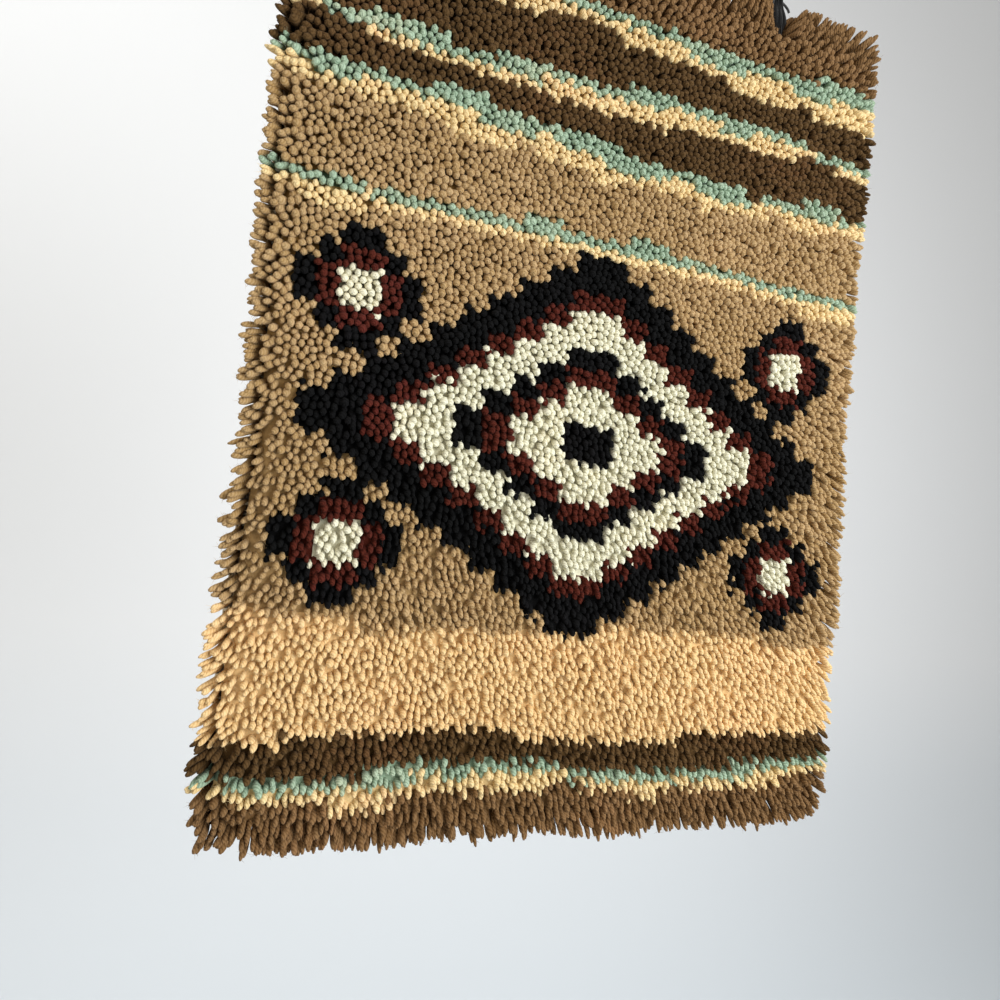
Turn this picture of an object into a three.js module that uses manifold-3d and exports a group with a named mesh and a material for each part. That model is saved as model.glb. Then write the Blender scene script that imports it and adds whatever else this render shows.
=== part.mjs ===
// Latch hook rug, hung by two spring clips. Millimetres, +X to the right, +Z up, pile facing -Y.
// The origin lies midway between the two hanging eyes, at the top of the inside of their wire.
import * as THREE from "three";
import { mergeVertices } from "three/addons/utils/BufferGeometryUtils.js";
import Module from "manifold-3d";

const wasm = await Module();
wasm.setup();

// Driving dimensions
const gap = 0.3;
const canvas = { width: 508, height: 700, thickness: 1.6, cornerRadius: 16, columns: 12, rows: 16 };
const place = { eyeToCanvas: 50.4, canvasFront: 3.3, clipOffset: 162 };
const pile = { height: 25, lump: 2.3, splay: 5, rimDrop: 3.5, inset: 9, columns: 34, rows: 47 };
const rim = { alongWidth: 56, alongHeight: 78, perCorner: 4 };
const lump = { rough: 0.55, swell: 0.45, across: 23, down: 27, twist: 31, atRim: 0.7 };
const lock = { reach: 6.5, hangExtra: 4.5, reachSpread: 3, sideSpread: 1.2, forward: 15, forwardSpread: 2 };
const lockEnd = { widthShare: 0.56, depth: 5 };
const wave = { depth: 3, flatTop: 40, fullBelow: 170 };
const barrel = { radius: 2.6, length: 9, up: 20, sides: 16 };
const wire = { radius: 1.1, sides: 8, steps: 54 };
const eye = { radius: 7.5, up: 44, turn: 325, points: 14, blend: 3, stepBack: 1.2 };
const groove = {
  side: 0.5, flare: 9, front: 34, topCut: 4, lead: 8, tipClear: 0.6, shelf: 0.1, behind: 0.5, top: 30,
};
const weldWithin = 1e-4;

// The slow waves of the hanging canvas: each one's share of the depth, and its lengths across and down
const waves = [
  { share: 0.6, across: 380, down: 430 },
  { share: 0.4, across: -760, down: 301 },
];

// How far each side edge strays from straight, by the distance down from the canvas's top
const sideEdges = [
  { down: -30, left: 0, right: 4 },
  { down: 90, left: -0.5, right: 5 },
  { down: 175, left: -1.2, right: 5 },
  { down: 215, left: -1.6, right: 1 },
  { down: 260, left: -1.1, right: 1 },
  { down: 340, left: 2.1, right: -2.6 },
  { down: 435, left: 4.2, right: 0 },
  { down: 520, left: 0.5, right: 3.2 },
  { down: 575, left: -1.6, right: -2.4 },
  { down: 635, left: -1.1, right: 1.4 },
  { down: 730, left: 0.5, right: -1.5 },
];

// How far the bottom edge strays upwards, by the distance across from the middle
const bottomEdge = [
  { across: -280, up: 1 },
  { across: -225, up: -4 },
  { across: -150, up: -2.5 },
  { across: -100, up: 1.5 },
  { across: 50, up: 1 },
  { across: 200, up: 0 },
  { across: 280, up: 3 },
];

// A clip's front jaw from tip to thumb end: height over the canvas's top edge, half width,
// and how far its inner face lies in front of the canvas
const frontJaw = [
  { up: -14.5, half: 2.2, out: 10.6 },
  { up: -9, half: 4.3, out: 9.6 },
  { up: -4, half: 6.7, out: 9.4 },
  { up: 0, half: 8.1, out: 9.4 },
  { up: 6, half: 7.5, out: 9 },
  { up: 12, half: 6.2, out: 7.6 },
  { up: 16.5, half: 5.3, out: 6.2 },
  { up: 23.5, half: 4.6, out: 6.2 },
  { up: 29, half: 4.3, out: 7.8 },
  { up: 34, half: 3.4, out: 10 },
];

// The back jaw, its inner face measured the same way, so a negative out lies behind the canvas's front
const backJaw = [
  { up: -13.5, half: 3, out: -1.9 },
  { up: -6, half: 5.6, out: -1.9 },
  { up: 0, half: 7.2, out: -1.9 },
  { up: 12, half: 6, out: -1.9 },
  { up: 16.5, half: 5.3, out: 0.4 },
  { up: 23.5, half: 4.6, out: 0.4 },
  { up: 29, half: 4.3, out: -1 },
  { up: 34, half: 3.4, out: -2.4 },
];

// A jaw's section: a share of the half width across, and millimetres of metal off the inner face
const jawSection = [
  { across: -1, thick: 0 },
  { across: 1, thick: 0 },
  { across: 1, thick: 1.3 },
  { across: 0.6, thick: 2.2 },
  { across: 0.3, thick: 1.5 },
  { across: 0, thick: 2.2 },
  { across: -0.3, thick: 1.5 },
  { across: -0.6, thick: 2.2 },
  { across: -1, thick: 1.3 },
];

// The wire's free end, bowed out to the right of the clip, and its way up between the thumb ends
const wireStart = [
  { across: 14.8, up: 16.8, back: -0.6 },
  { across: 13.4, up: 19.6, back: -0.4 },
  { across: 10.4, up: 22.2, back: -0.2 },
  { across: 6.4, up: 24.1, back: 0 },
  { across: 2.6, up: 24.7, back: 0 },
  { across: 0.3, up: 27, back: 0 },
  { across: 0, up: 31, back: 0 },
];

const canvasTop = -place.eyeToCanvas;

// A repeatable spread from -1 to 1 for the nth lock or lump
function spread(n) {
  const s = Math.sin(n * 12.9898 + 4.1) * 43758.5453;
  return 2 * (s - Math.floor(s)) - 1;
}

// The value of one column at a place in a table, eased between its rows
function tableValue(table, key, at, column) {
  const next = table.findIndex((row) => row[key] >= at);
  if (next === 0) return table[0][column];
  if (next < 0) return table[table.length - 1][column];
  const a = table[next - 1];
  const b = table[next];
  const t = (at - a[key]) / (b[key] - a[key]);
  return a[column] + (b[column] - a[column]) * (3 * t * t - 2 * t * t * t);
}

// A point of the hanging rug: across and down on the flat canvas, forward from the canvas's front face
function onRug(across, down, forward) {
  const share = (across + canvas.width / 2) / canvas.width;
  const left = tableValue(sideEdges, "down", down, "left");
  const right = tableValue(sideEdges, "down", down, "right");
  const lift = tableValue(bottomEdge, "across", across, "up") * (down / canvas.height);
  const fade = THREE.MathUtils.smoothstep(down, wave.flatTop, wave.fullBelow);
  let bow = 0;
  for (const w of waves) bow += w.share * Math.sin(2 * Math.PI * (across / w.across + down / w.down));
  return new THREE.Vector3(
    across + left * (1 - share) + right * share,
    place.canvasFront - forward + wave.depth * fade * bow,
    canvasTop - down + lift,
  );
}

// The canvas's outline, anticlockwise seen from the pile side, each point with its outward direction
function outline() {
  const r = canvas.cornerRadius;
  const right = canvas.width / 2 - r;
  const bottom = canvas.height - r;
  const wide = { length: 2 * right, steps: rim.alongWidth };
  const tall = { length: bottom - r, steps: rim.alongHeight };
  const sides = [
    { from: [-right, bottom], run: [1, 0], out: [0, 1], ...wide },
    { from: [right, bottom], run: [0, -1], out: [1, 0], ...tall },
    { from: [right, r], run: [-1, 0], out: [0, -1], ...wide },
    { from: [-right, r], run: [0, 1], out: [-1, 0], ...tall },
  ];
  const points = [];
  for (const side of sides) {
    for (let i = 0; i < side.steps; i++) {
      const t = (side.length * i) / side.steps;
      const base = side.from.map((c, k) => c + side.run[k] * t);
      points.push({ base, out: side.out });
    }
    const corner = side.from.map((c, k) => c + side.run[k] * side.length);
    for (let i = 0; i < rim.perCorner; i++) {
      const turn = (Math.PI / 2) * (i / rim.perCorner);
      const out = side.out.map((c, k) => c * Math.cos(turn) + side.run[k] * Math.sin(turn));
      points.push({ base: corner, out });
    }
  }
  return points.map(({ base, out }) => ({
    across: base[0] + out[0] * r,
    down: base[1] + out[1] * r,
    out,
  }));
}

const outlinePoints = outline();

// A ring of points round the rug, pushed outwards from the canvas's edge
function ringOf(outwards, forward) {
  return outlinePoints.map((p, i) =>
    onRug(p.across + p.out[0] * outwards, p.down + p.out[1] * outwards, forward(i)),
  );
}

// A grid of points over the rug, row 0 at the top
function gridOf(columns, rows, inset, forward) {
  const grid = [];
  for (let r = 0; r <= rows; r++) {
    const down = inset + ((canvas.height - 2 * inset) * r) / rows;
    grid.push([]);
    for (let c = 0; c <= columns; c++) {
      const across = -canvas.width / 2 + inset + ((canvas.width - 2 * inset) * c) / columns;
      grid[r].push(onRug(across, down, forward(across, down, r * (columns + 1) + c)));
    }
  }
  return grid;
}

// The border of a grid, anticlockwise seen from the pile side
function borderOf(grid) {
  const last = grid.length - 1;
  const end = grid[0].length - 1;
  const border = [];
  for (let c = 0; c < end; c++) border.push(grid[last][c]);
  for (let r = last; r > 0; r--) border.push(grid[r][end]);
  for (let c = end; c > 0; c--) border.push(grid[0][c]);
  for (let r = 0; r < last; r++) border.push(grid[r][0]);
  return border;
}

// A bag of triangles that becomes one geometry
class Faces {
  positions = [];

  tri(a, b, c) {
    for (const p of [a, b, c]) this.positions.push(p.x, p.y, p.z);
  }

  quad(a, b, c, d) {
    this.tri(a, b, c);
    this.tri(a, c, d);
  }

  // Fills between an outer ring and a grid inside it, the shorter diagonal first
  strip(outer, inner, flip) {
    let i = 0;
    let j = 0;
    const at = (ring, n) => ring[n % ring.length];
    while (i < outer.length || j < inner.length) {
      const outerStep = at(outer, i + 1).distanceTo(at(inner, j));
      const innerStep = at(outer, i).distanceTo(at(inner, j + 1));
      const takeOuter = j >= inner.length || (i < outer.length && outerStep <= innerStep);
      const a = at(outer, i);
      const b = takeOuter ? at(outer, i + 1) : at(inner, j + 1);
      const c = at(inner, j);
      if (flip) this.tri(a, c, b);
      else this.tri(a, b, c);
      if (takeOuter) i++;
      else j++;
    }
  }

  // A grid facing the viewer, or away from them where flipped
  grid(points, flip) {
    for (let r = 0; r + 1 < points.length; r++) {
      for (let c = 0; c + 1 < points[0].length; c++) {
        const [tl, tr] = [points[r][c], points[r][c + 1]];
        const [bl, br] = [points[r + 1][c], points[r + 1][c + 1]];
        if (flip) this.quad(bl, tl, tr, br);
        else this.quad(bl, br, tr, tl);
      }
    }
  }

  // Sections from the lowest to the highest joined to a closed solid, each a ring of as many points
  loft(rings) {
    const turned = THREE.ShapeUtils.area(rings[0]) < 0;
    const sections = turned ? rings.map((ring) => [...ring].reverse()) : rings;
    const count = sections[0].length;
    for (let s = 0; s + 1 < sections.length; s++) {
      for (let k = 0; k < count; k++) {
        const n = (k + 1) % count;
        this.quad(sections[s][k], sections[s][n], sections[s + 1][n], sections[s + 1][k]);
      }
    }
    this.cap(sections[0], true);
    this.cap(sections[sections.length - 1], false);
  }

  cap(ring, flip) {
    const flat = ring.map((p) => new THREE.Vector2(p.x, p.y));
    for (const [a, b, c] of THREE.ShapeUtils.triangulateShape(flat, [])) {
      if (flip) this.tri(ring[c], ring[b], ring[a]);
      else this.tri(ring[a], ring[b], ring[c]);
    }
  }

  geometry() {
    const loose = new THREE.BufferGeometry();
    loose.setAttribute("position", new THREE.Float32BufferAttribute(this.positions, 3));
    return mergeVertices(loose, weldWithin);
  }
}

function toManifold(geometry) {
  return new wasm.Manifold(
    new wasm.Mesh({
      numProp: 3,
      vertProperties: new Float32Array(geometry.attributes.position.array),
      triVerts: new Uint32Array(geometry.index.array),
    }),
  );
}

function fromManifold(solid) {
  const mesh = solid.getMesh();
  const geometry = new THREE.BufferGeometry();
  geometry.setAttribute("position", new THREE.Float32BufferAttribute(mesh.vertProperties, 3));
  geometry.setIndex(Array.from(mesh.triVerts));
  return geometry;
}

// The open-mesh canvas as one thin sheet, with the rug's outline and its slow waves
function canvasGeometry() {
  const faces = new Faces();
  const back = () => -canvas.thickness;
  const front = () => 0;
  const backGrid = gridOf(canvas.columns, canvas.rows, pile.inset, back);
  const frontGrid = gridOf(canvas.columns, canvas.rows, pile.inset, front);
  const backRing = ringOf(0, back);
  const frontRing = ringOf(0, front);
  faces.grid(frontGrid, false);
  faces.grid(backGrid, true);
  faces.strip(frontRing, borderOf(frontGrid), false);
  faces.strip(backRing, borderOf(backGrid), true);
  for (let i = 0; i < backRing.length; i++) {
    const n = (i + 1) % backRing.length;
    faces.quad(backRing[i], backRing[n], frontRing[n], frontRing[i]);
  }
  return faces.geometry();
}

// The blunt end of one rim lock, out from the four corners of its root
function lockTip(root, i) {
  const p = outlinePoints[i];
  const q = outlinePoints[(i + 1) % outlinePoints.length];
  const out = new THREE.Vector3(p.out[0] + q.out[0], 0, -p.out[1] - q.out[1]).normalize();
  const along = root[1].clone().sub(root[0]).normalize();
  const middle = root[0].clone().add(root[1]).multiplyScalar(0.5);
  const drop = Math.max(0, -out.z) * lock.hangExtra;
  const reach = pile.splay + lock.reach + drop + lock.reachSpread * spread(i);
  middle.addScaledVector(out, reach).addScaledVector(along, lock.sideSpread * spread(i + 401));
  middle.y -= lock.forward + lock.forwardSpread * spread(i + 811);
  const halfWide = (root[0].distanceTo(root[1]) * lockEnd.widthShare) / 2;
  const halfDeep = lockEnd.depth / 2;
  const corners = [[-1, 1], [1, 1], [1, -1], [-1, -1]];
  return corners.map(([wide, deep]) => {
    const tip = middle.clone().addScaledVector(along, wide * halfWide);
    tip.y += deep * halfDeep;
    return tip;
  });
}

// The shag: a lumpy slab, its rim drawn out into blunt locks
function pileGeometry() {
  const faces = new Faces();
  const lumps = (across, down, n) => {
    const swell = Math.sin(across / lump.across + Math.sin(down / lump.twist)) * Math.sin(down / lump.down);
    return pile.height + pile.lump * (lump.rough * spread(n) + lump.swell * swell);
  };
  const frontGrid = gridOf(pile.columns, pile.rows, pile.inset, lumps);
  const backGrid = gridOf(canvas.columns, canvas.rows, pile.inset, () => gap);
  const backRing = ringOf(0, () => gap);
  const rimHeight = (i) => pile.height - pile.rimDrop + lump.atRim * pile.lump * spread(i + 57);
  const frontRing = ringOf(pile.splay, rimHeight);
  faces.grid(frontGrid, false);
  faces.grid(backGrid, true);
  faces.strip(frontRing, borderOf(frontGrid), false);
  faces.strip(backRing, borderOf(backGrid), true);
  for (let i = 0; i < backRing.length; i++) {
    const n = (i + 1) % backRing.length;
    const root = [backRing[i], backRing[n], frontRing[n], frontRing[i]];
    const tip = lockTip(root, i);
    for (let k = 0; k < 4; k++) faces.quad(root[k], root[(k + 1) % 4], tip[(k + 1) % 4], tip[k]);
    faces.quad(...tip);
  }
  return faces.geometry();
}

// The space that a closed jaw presses and parts in the pile, flared towards the front
function pressedSpace(clipX) {
  const section = (up, half, floor) => {
    const corners = [
      [-half - groove.side, floor],
      [half + groove.side, floor],
      [half + groove.flare, groove.front],
      [-half - groove.flare, groove.front],
    ];
    return corners.map(
      ([across, out]) => new THREE.Vector3(clipX + across, place.canvasFront - out, canvasTop + up),
    );
  };
  const seated = frontJaw.filter((row) => row.up < groove.topCut);
  const tip = seated[0];
  const cutHalf = tableValue(frontJaw, "up", groove.topCut, "half");
  const cutFloor = tableValue(frontJaw, "up", groove.topCut, "out") - gap;
  const sections = [
    section(tip.up - groove.lead, tip.half, pile.height),
    section(tip.up - groove.tipClear, tip.half, tip.out - gap),
    ...seated.map((row) => section(row.up, row.half, row.out - gap)),
    section(groove.topCut, cutHalf, cutFloor),
    section(groove.topCut + groove.shelf, cutHalf, -groove.behind),
    section(groove.top, cutHalf, -groove.behind),
  ];
  const faces = new Faces();
  faces.loft(sections);
  return toManifold(faces.geometry());
}

// The pile with both clips' places pressed into it, in one piece
function pressedPile() {
  let solid = toManifold(pileGeometry());
  for (const side of [-1, 1]) solid = solid.subtract(pressedSpace(side * place.clipOffset));
  const parts = solid.decompose().sort((a, b) => b.volume() - a.volume());
  return fromManifold(parts[0]);
}

// A ribbed jaw through its table's rows; facing is 1 for the front jaw and -1 for the back one
function jawGeometry(table, facing, clipX) {
  const sections = table.map((row) =>
    jawSection.map(
      ({ across, thick }) =>
        new THREE.Vector3(
          clipX + facing * across * row.half,
          place.canvasFront - row.out - facing * thick,
          canvasTop + row.up,
        ),
    ),
  );
  const faces = new Faces();
  faces.loft(sections);
  return faces.geometry();
}

// The spring's barrel, lying across between the jaws
function barrelGeometry(clipX) {
  const geometry = new THREE.CylinderGeometry(barrel.radius, barrel.radius, barrel.length, barrel.sides);
  geometry.rotateZ(Math.PI / 2);
  geometry.translate(clipX, 0, canvasTop + barrel.up);
  geometry.deleteAttribute("normal");
  geometry.deleteAttribute("uv");
  return mergeVertices(geometry, weldWithin);
}

// The wire: a bowed free end, a stem between the thumb ends, and a round eye
function wireGeometry(clipX) {
  const points = wireStart.map(
    ({ across, up, back }) => new THREE.Vector3(clipX + across, back, canvasTop + up),
  );
  for (let i = 1; i <= eye.points; i++) {
    const turn = THREE.MathUtils.degToRad((eye.turn * i) / eye.points);
    const leaving = Math.min(1, i / eye.blend);
    const closing = Math.max(0, 1 - (eye.points - i) / eye.blend);
    points.push(
      new THREE.Vector3(
        clipX + eye.radius * Math.sin(turn) * leaving,
        eye.stepBack * closing,
        canvasTop + eye.up - eye.radius * Math.cos(turn),
      ),
    );
  }
  const section = new THREE.Shape();
  for (let k = 0; k < wire.sides; k++) {
    const turn = (2 * Math.PI * k) / wire.sides;
    const [x, y] = [wire.radius * Math.cos(turn), wire.radius * Math.sin(turn)];
    if (k === 0) section.moveTo(x, y);
    else section.lineTo(x, y);
  }
  section.closePath();
  const path = new THREE.CatmullRomCurve3(points, false, "centripetal");
  const settings = { steps: wire.steps, extrudePath: path, bevelEnabled: false };
  const geometry = new THREE.ExtrudeGeometry(section, settings);
  geometry.deleteAttribute("normal");
  geometry.deleteAttribute("uv");
  return mergeVertices(geometry, weldWithin);
}

const rug = new THREE.Group();

// Adds one named piece in its own finish
function add(name, geometry, finish) {
  const mesh = new THREE.Mesh(geometry, new THREE.MeshStandardMaterial(finish));
  mesh.name = name;
  rug.add(mesh);
}

add("canvas", canvasGeometry(), { color: 0xcdbd9a, roughness: 0.95, metalness: 0 });
add("pile", pressedPile(), { color: 0x9c7a4c, roughness: 1, metalness: 0 });
for (const [side, sign] of [["left", -1], ["right", 1]]) {
  const clipX = sign * place.clipOffset;
  const black = { color: 0x111112, roughness: 0.35, metalness: 0.2 };
  add(`${side}_clip_front_jaw`, jawGeometry(frontJaw, 1, clipX), black);
  add(`${side}_clip_back_jaw`, jawGeometry(backJaw, -1, clipX), black);
  add(`${side}_clip_spring`, barrelGeometry(clipX), { color: 0x1b1b1d, roughness: 0.3, metalness: 0.9 });
  add(`${side}_clip_wire`, wireGeometry(clipX), { color: 0x0c0c0d, roughness: 0.3, metalness: 0.9 });
}

export default rug;
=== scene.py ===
import math

import bpy
import numpy as np
from mathutils import Matrix, Vector


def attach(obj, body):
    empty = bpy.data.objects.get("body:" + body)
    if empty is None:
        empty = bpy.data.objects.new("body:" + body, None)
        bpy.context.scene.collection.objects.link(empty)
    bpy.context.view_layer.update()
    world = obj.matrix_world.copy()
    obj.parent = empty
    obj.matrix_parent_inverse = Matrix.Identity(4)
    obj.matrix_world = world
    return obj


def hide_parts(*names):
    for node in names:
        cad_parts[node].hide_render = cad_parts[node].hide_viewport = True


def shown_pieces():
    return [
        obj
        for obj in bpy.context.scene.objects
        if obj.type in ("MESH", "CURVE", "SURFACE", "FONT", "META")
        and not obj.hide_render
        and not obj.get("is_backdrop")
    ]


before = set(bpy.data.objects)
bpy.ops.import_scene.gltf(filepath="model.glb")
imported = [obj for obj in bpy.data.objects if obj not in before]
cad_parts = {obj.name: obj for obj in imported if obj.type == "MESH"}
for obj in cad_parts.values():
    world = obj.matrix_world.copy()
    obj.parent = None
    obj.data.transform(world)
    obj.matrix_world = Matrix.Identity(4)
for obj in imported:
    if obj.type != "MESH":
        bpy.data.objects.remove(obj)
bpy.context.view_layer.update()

mm = 0.001

# The rug as it hangs, in the frame's own place: sizes in metres, pile facing -Y
rug = {
    "width": 508 * mm,
    "height": 700 * mm,
    "canvasTop": -50.4 * mm,
    "canvasFront": 3.3 * mm,
    "canvasThick": 1.6 * mm,
    "columns": 68,
    "rows": 94,
    "waveDepth": 3 * mm,
    "flatTop": 40 * mm,
    "fullWave": 170 * mm,
}
pitchAcross, pitchUp = rug["width"] / rug["columns"], rug["height"] / rug["rows"]
clipOffset = 162 * mm


def table(columns, *rows):
    # Rows of values, each a dictionary by the columns' names
    return [dict(zip(columns.split(), row)) for row in rows]


# How far each side edge strays from straight, by the distance down from the canvas's top, in mm
sideEdges = table(
    "down left right",
    (-30, 0, 4),
    (90, -0.5, 5),
    (175, -1.2, 5),
    (215, -1.6, 1),
    (260, -1.1, 1),
    (340, 2.1, -2.6),
    (435, 4.2, 0),
    (520, 0.5, 3.2),
    (575, -1.6, -2.4),
    (635, -1.1, 1.4),
    (730, 0.5, -1.5),
)

# How far the bottom edge strays upwards, by the distance across from the middle, in mm
bottomEdge = table(
    "across up",
    (-280, 1),
    (-225, -4),
    (-150, -2.5),
    (-100, 1.5),
    (50, 1),
    (200, 0),
    (280, 3),
)

# The slow waves of the hanging canvas: share of the depth, and lengths across and down in mm
waves = table("share across down", (0.6, 380, 430), (0.4, -760, 301))


def ease(t):
    t = np.clip(t, 0, 1)
    return t * t * (3 - 2 * t)


def blend(first, second, share):
    return first + (second - first) * share


def unit(vectors):
    return vectors / np.maximum(np.linalg.norm(vectors, axis=-1, keepdims=True), 1e-9)


def tableValue(rows, key, at, column):
    # The value of one column at many places, eased between the table's rows
    at = np.asarray(at, float) / mm
    keys = np.array([row[key] for row in rows], float)
    values = np.array([row[column] for row in rows], float) * mm
    k = np.clip(np.searchsorted(keys, at) - 1, 0, len(keys) - 2)
    t = (at - keys[k]) / (keys[k + 1] - keys[k])
    return blend(values[k], values[k + 1], ease(t))


def onRug(across, down, forward):
    # Points of the hanging rug: across and down on the flat canvas, forward from its front face
    across, down, forward = np.broadcast_arrays(across, down, forward)
    share = across / rug["width"] + 0.5
    left = tableValue(sideEdges, "down", down, "left")
    right = tableValue(sideEdges, "down", down, "right")
    lift = tableValue(bottomEdge, "across", across, "up") * down / rug["height"]
    fade = ease((down - rug["flatTop"]) / (rug["fullWave"] - rug["flatTop"]))
    bow = sum(w["share"] * np.sin(2 * np.pi * (across / w["across"] + down / w["down"]) / mm) for w in waves)
    x = across + left * (1 - share) + right * share
    y = rug["canvasFront"] - forward + rug["waveDepth"] * fade * bow
    z = rug["canvasTop"] - down + lift
    return np.stack([x, y, z], axis=-1)


# Camera at the photograph's viewing angle
camera = {
    "place": (-259.7 * mm, -550.2 * mm, -542.3 * mm),
    "right": (0.93493, -0.34283, 0.09147),
    "up": (-0.10477, -0.02044, 0.99429),
    "lens": 27.04,
}


def addCamera():
    data = bpy.data.cameras.new("photoCamera")
    data.lens = camera["lens"]
    data.sensor_width = 36
    data.clip_start = 0.01
    data.clip_end = 60
    view = bpy.data.objects.new("photoCamera", data)
    bpy.context.scene.collection.objects.link(view)
    right, up = Vector(camera["right"]).normalized(), Vector(camera["up"]).normalized()
    back = right.cross(up).normalized()
    turn = Matrix((right, back.cross(right), back)).transposed().to_4x4()
    view.matrix_world = Matrix.Translation(camera["place"]) @ turn
    bpy.context.scene.camera = view


addCamera()
print("camera placed")


class Value:
    # A node's output that Python's own signs work on
    def __init__(self, finish, socket):
        self.finish = finish
        self.socket = socket

    def maths(self, operation, first, second):
        return self.finish.node("ShaderNodeMath", {"operation": operation}, [first, second])

    def __add__(self, other):
        return self.maths("ADD", self, other)

    __radd__ = __add__

    def __sub__(self, other):
        return self.maths("SUBTRACT", self, other)

    def __rsub__(self, other):
        return self.maths("SUBTRACT", other, self)

    def __mul__(self, other):
        return self.maths("MULTIPLY", self, other)

    __rmul__ = __mul__

    def __pow__(self, other):
        return self.maths("POWER", self, other)


class Finish:
    # One procedural material; constants go straight on the surface's own sockets
    def __init__(self, name, **constants):
        self.material = bpy.data.materials.new(name)
        self.material.use_nodes = True
        self.tree = self.material.node_tree
        self.surface = self.tree.nodes["Principled BSDF"]
        for socket, value in constants.items():
            self.surface.inputs[socket.replace("_", " ")].default_value = value

    def node(self, kind, settings=None, inputs=None, output=0):
        made = self.tree.nodes.new(kind)
        for key, value in (settings or {}).items():
            if key == "stops":
                self.setStops(made.color_ramp, value)
            else:
                setattr(made, key, value)
        pairs = enumerate(inputs) if isinstance(inputs, list) else (inputs or {}).items()
        for key, value in pairs:
            if isinstance(value, Value):
                self.tree.links.new(value.socket, made.inputs[key])
            elif value is not None:
                made.inputs[key].default_value = value
        return Value(self, made.outputs[output])

    def setStops(self, ramp, stops):
        while len(ramp.elements) > 1:
            ramp.elements.remove(ramp.elements[-1])
        for k, (place, colour) in enumerate(stops):
            stop = ramp.elements[0] if k == 0 else ramp.elements.new(place)
            stop.position = place
            stop.color = (*colour, 1)

    def feed(self, **links):
        for socket, value in links.items():
            self.tree.links.new(value.socket, self.surface.inputs[socket.replace("_", " ")])
        return self.material


def mixColour(finish, factor, first, second, mode="MIX"):
    settings = {"data_type": "RGBA", "blend_type": mode}
    sides = [side if isinstance(side, Value) else (*side, 1) for side in (first, second)]
    return finish.node("ShaderNodeMix", settings, {0: factor, 6: sides[0], 7: sides[1]}, 2)


def splitVector(finish, vector):
    return [finish.node("ShaderNodeSeparateXYZ", inputs=[vector], output=k) for k in range(3)]


def meshVector(finish, name, output):
    return finish.node("ShaderNodeAttribute", {"attribute_name": name}, output=output)


def noise(finish, scale, detail):
    place = finish.node("ShaderNodeTexCoord", output=3)
    return finish.node("ShaderNodeTexNoise", {}, {"Vector": place, "Scale": scale, "Detail": detail})


def bumps(finish, strength, depth, height):
    return finish.node("ShaderNodeBump", {}, {"Strength": strength, "Distance": depth, "Height": height})


def clamped(finish, value):
    return finish.node("ShaderNodeClamp", {}, [value, 0.0, 1.0])


def pingPong(finish, value):
    # From 0 up to 1 and down again over every whole step of the value
    return finish.node("ShaderNodeMath", {"operation": "PINGPONG"}, [value, 0.5]) * 2


def shaded(finish, colour, shade):
    grey = finish.node("ShaderNodeCombineColor", {}, [shade, shade, shade])
    return mixColour(finish, 1.0, colour, grey, "MULTIPLY")


# Piece helpers
def deselectAll():
    bpy.ops.object.select_all(action="DESELECT")


def makeOnly(piece):
    deselectAll()
    piece.select_set(True)
    bpy.context.view_layer.objects.active = piece


def addShape(operator, **settings):
    deselectAll()
    operator(**settings)
    return bpy.context.active_object


def addGrid(countAcross, countUp):
    counts = {"x_subdivisions": countAcross, "y_subdivisions": countUp}
    return addShape(bpy.ops.mesh.primitive_grid_add, size=1, **counts)


def editAll():
    bpy.ops.object.mode_set(mode="EDIT")
    bpy.ops.mesh.select_all(action="SELECT")


def closeEdit():
    # Every face turned outwards, then out of edit mode
    bpy.ops.mesh.select_all(action="SELECT")
    bpy.ops.mesh.normals_make_consistent(inside=False)
    bpy.ops.object.mode_set(mode="OBJECT")


def smoothEdges(piece, sharpest):
    makeOnly(piece)
    bpy.ops.object.shade_smooth_by_angle(angle=math.radians(sharpest))


def setAll(items, key, values):
    items.foreach_set(key, values.astype(np.float32).ravel())


def setVectors(mesh, name, domain, vectors):
    setAll(mesh.attributes.new(name, "FLOAT_VECTOR", domain).data, "vector", vectors)


def takeShape(piece):
    # The points and faces of a modelled shape; the piece itself goes
    points = np.array([v.co for v in piece.data.vertices], float)
    faces = [list(face.vertices) for face in piece.data.polygons]
    bpy.data.objects.remove(piece)
    return points, faces


def applyModifier(piece, kind, **settings):
    makeOnly(piece)
    modifier = piece.modifiers.new(kind.title(), kind)
    for key, value in settings.items():
        setattr(modifier, key, value)
    bpy.ops.object.modifier_apply(modifier=modifier.name)


def finishPiece(piece, name, material, replaced):
    piece.name = name
    piece.data.name = name
    piece.data.materials.clear()
    piece.data.materials.append(material)
    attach(piece, "root")
    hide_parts(*replaced)
    return piece


# Yarns: the light and the shaded colour of each, and a third that drifts in where its dye is uneven
yarnTable = table(
    "name light deep drift sheen",
    ("tan", (0.465, 0.32, 0.165), (0.27, 0.15, 0.036), (0.52, 0.345, 0.175), 0.18),
    ("sand", (0.82, 0.60, 0.32), (0.62, 0.38, 0.14), (0.84, 0.55, 0.28), 0.18),
    ("brown", (0.235, 0.137, 0.062), (0.10, 0.046, 0.010), (0.27, 0.145, 0.065), 0.08),
    ("darkBrown", (0.115, 0.066, 0.026), (0.04, 0.018, 0.004), (0.14, 0.068, 0.028), 0.05),
    ("mint", (0.38, 0.49, 0.36), (0.13, 0.21, 0.13), (0.48, 0.52, 0.36), 0.2),
    ("cream", (0.84, 0.66, 0.36), (0.56, 0.37, 0.14), (0.84, 0.56, 0.30), 0.18),
    ("white", (0.82, 0.80, 0.62), (0.52, 0.48, 0.34), (0.84, 0.77, 0.56), 0.2),
    ("black", (0.0065, 0.0065, 0.0068), (0.002, 0.002, 0.002), (0.008, 0.007, 0.008), 0.01),
    ("red", (0.092, 0.019, 0.011), (0.028, 0.004, 0.002), (0.10, 0.02, 0.015), 0.03),
)
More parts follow.
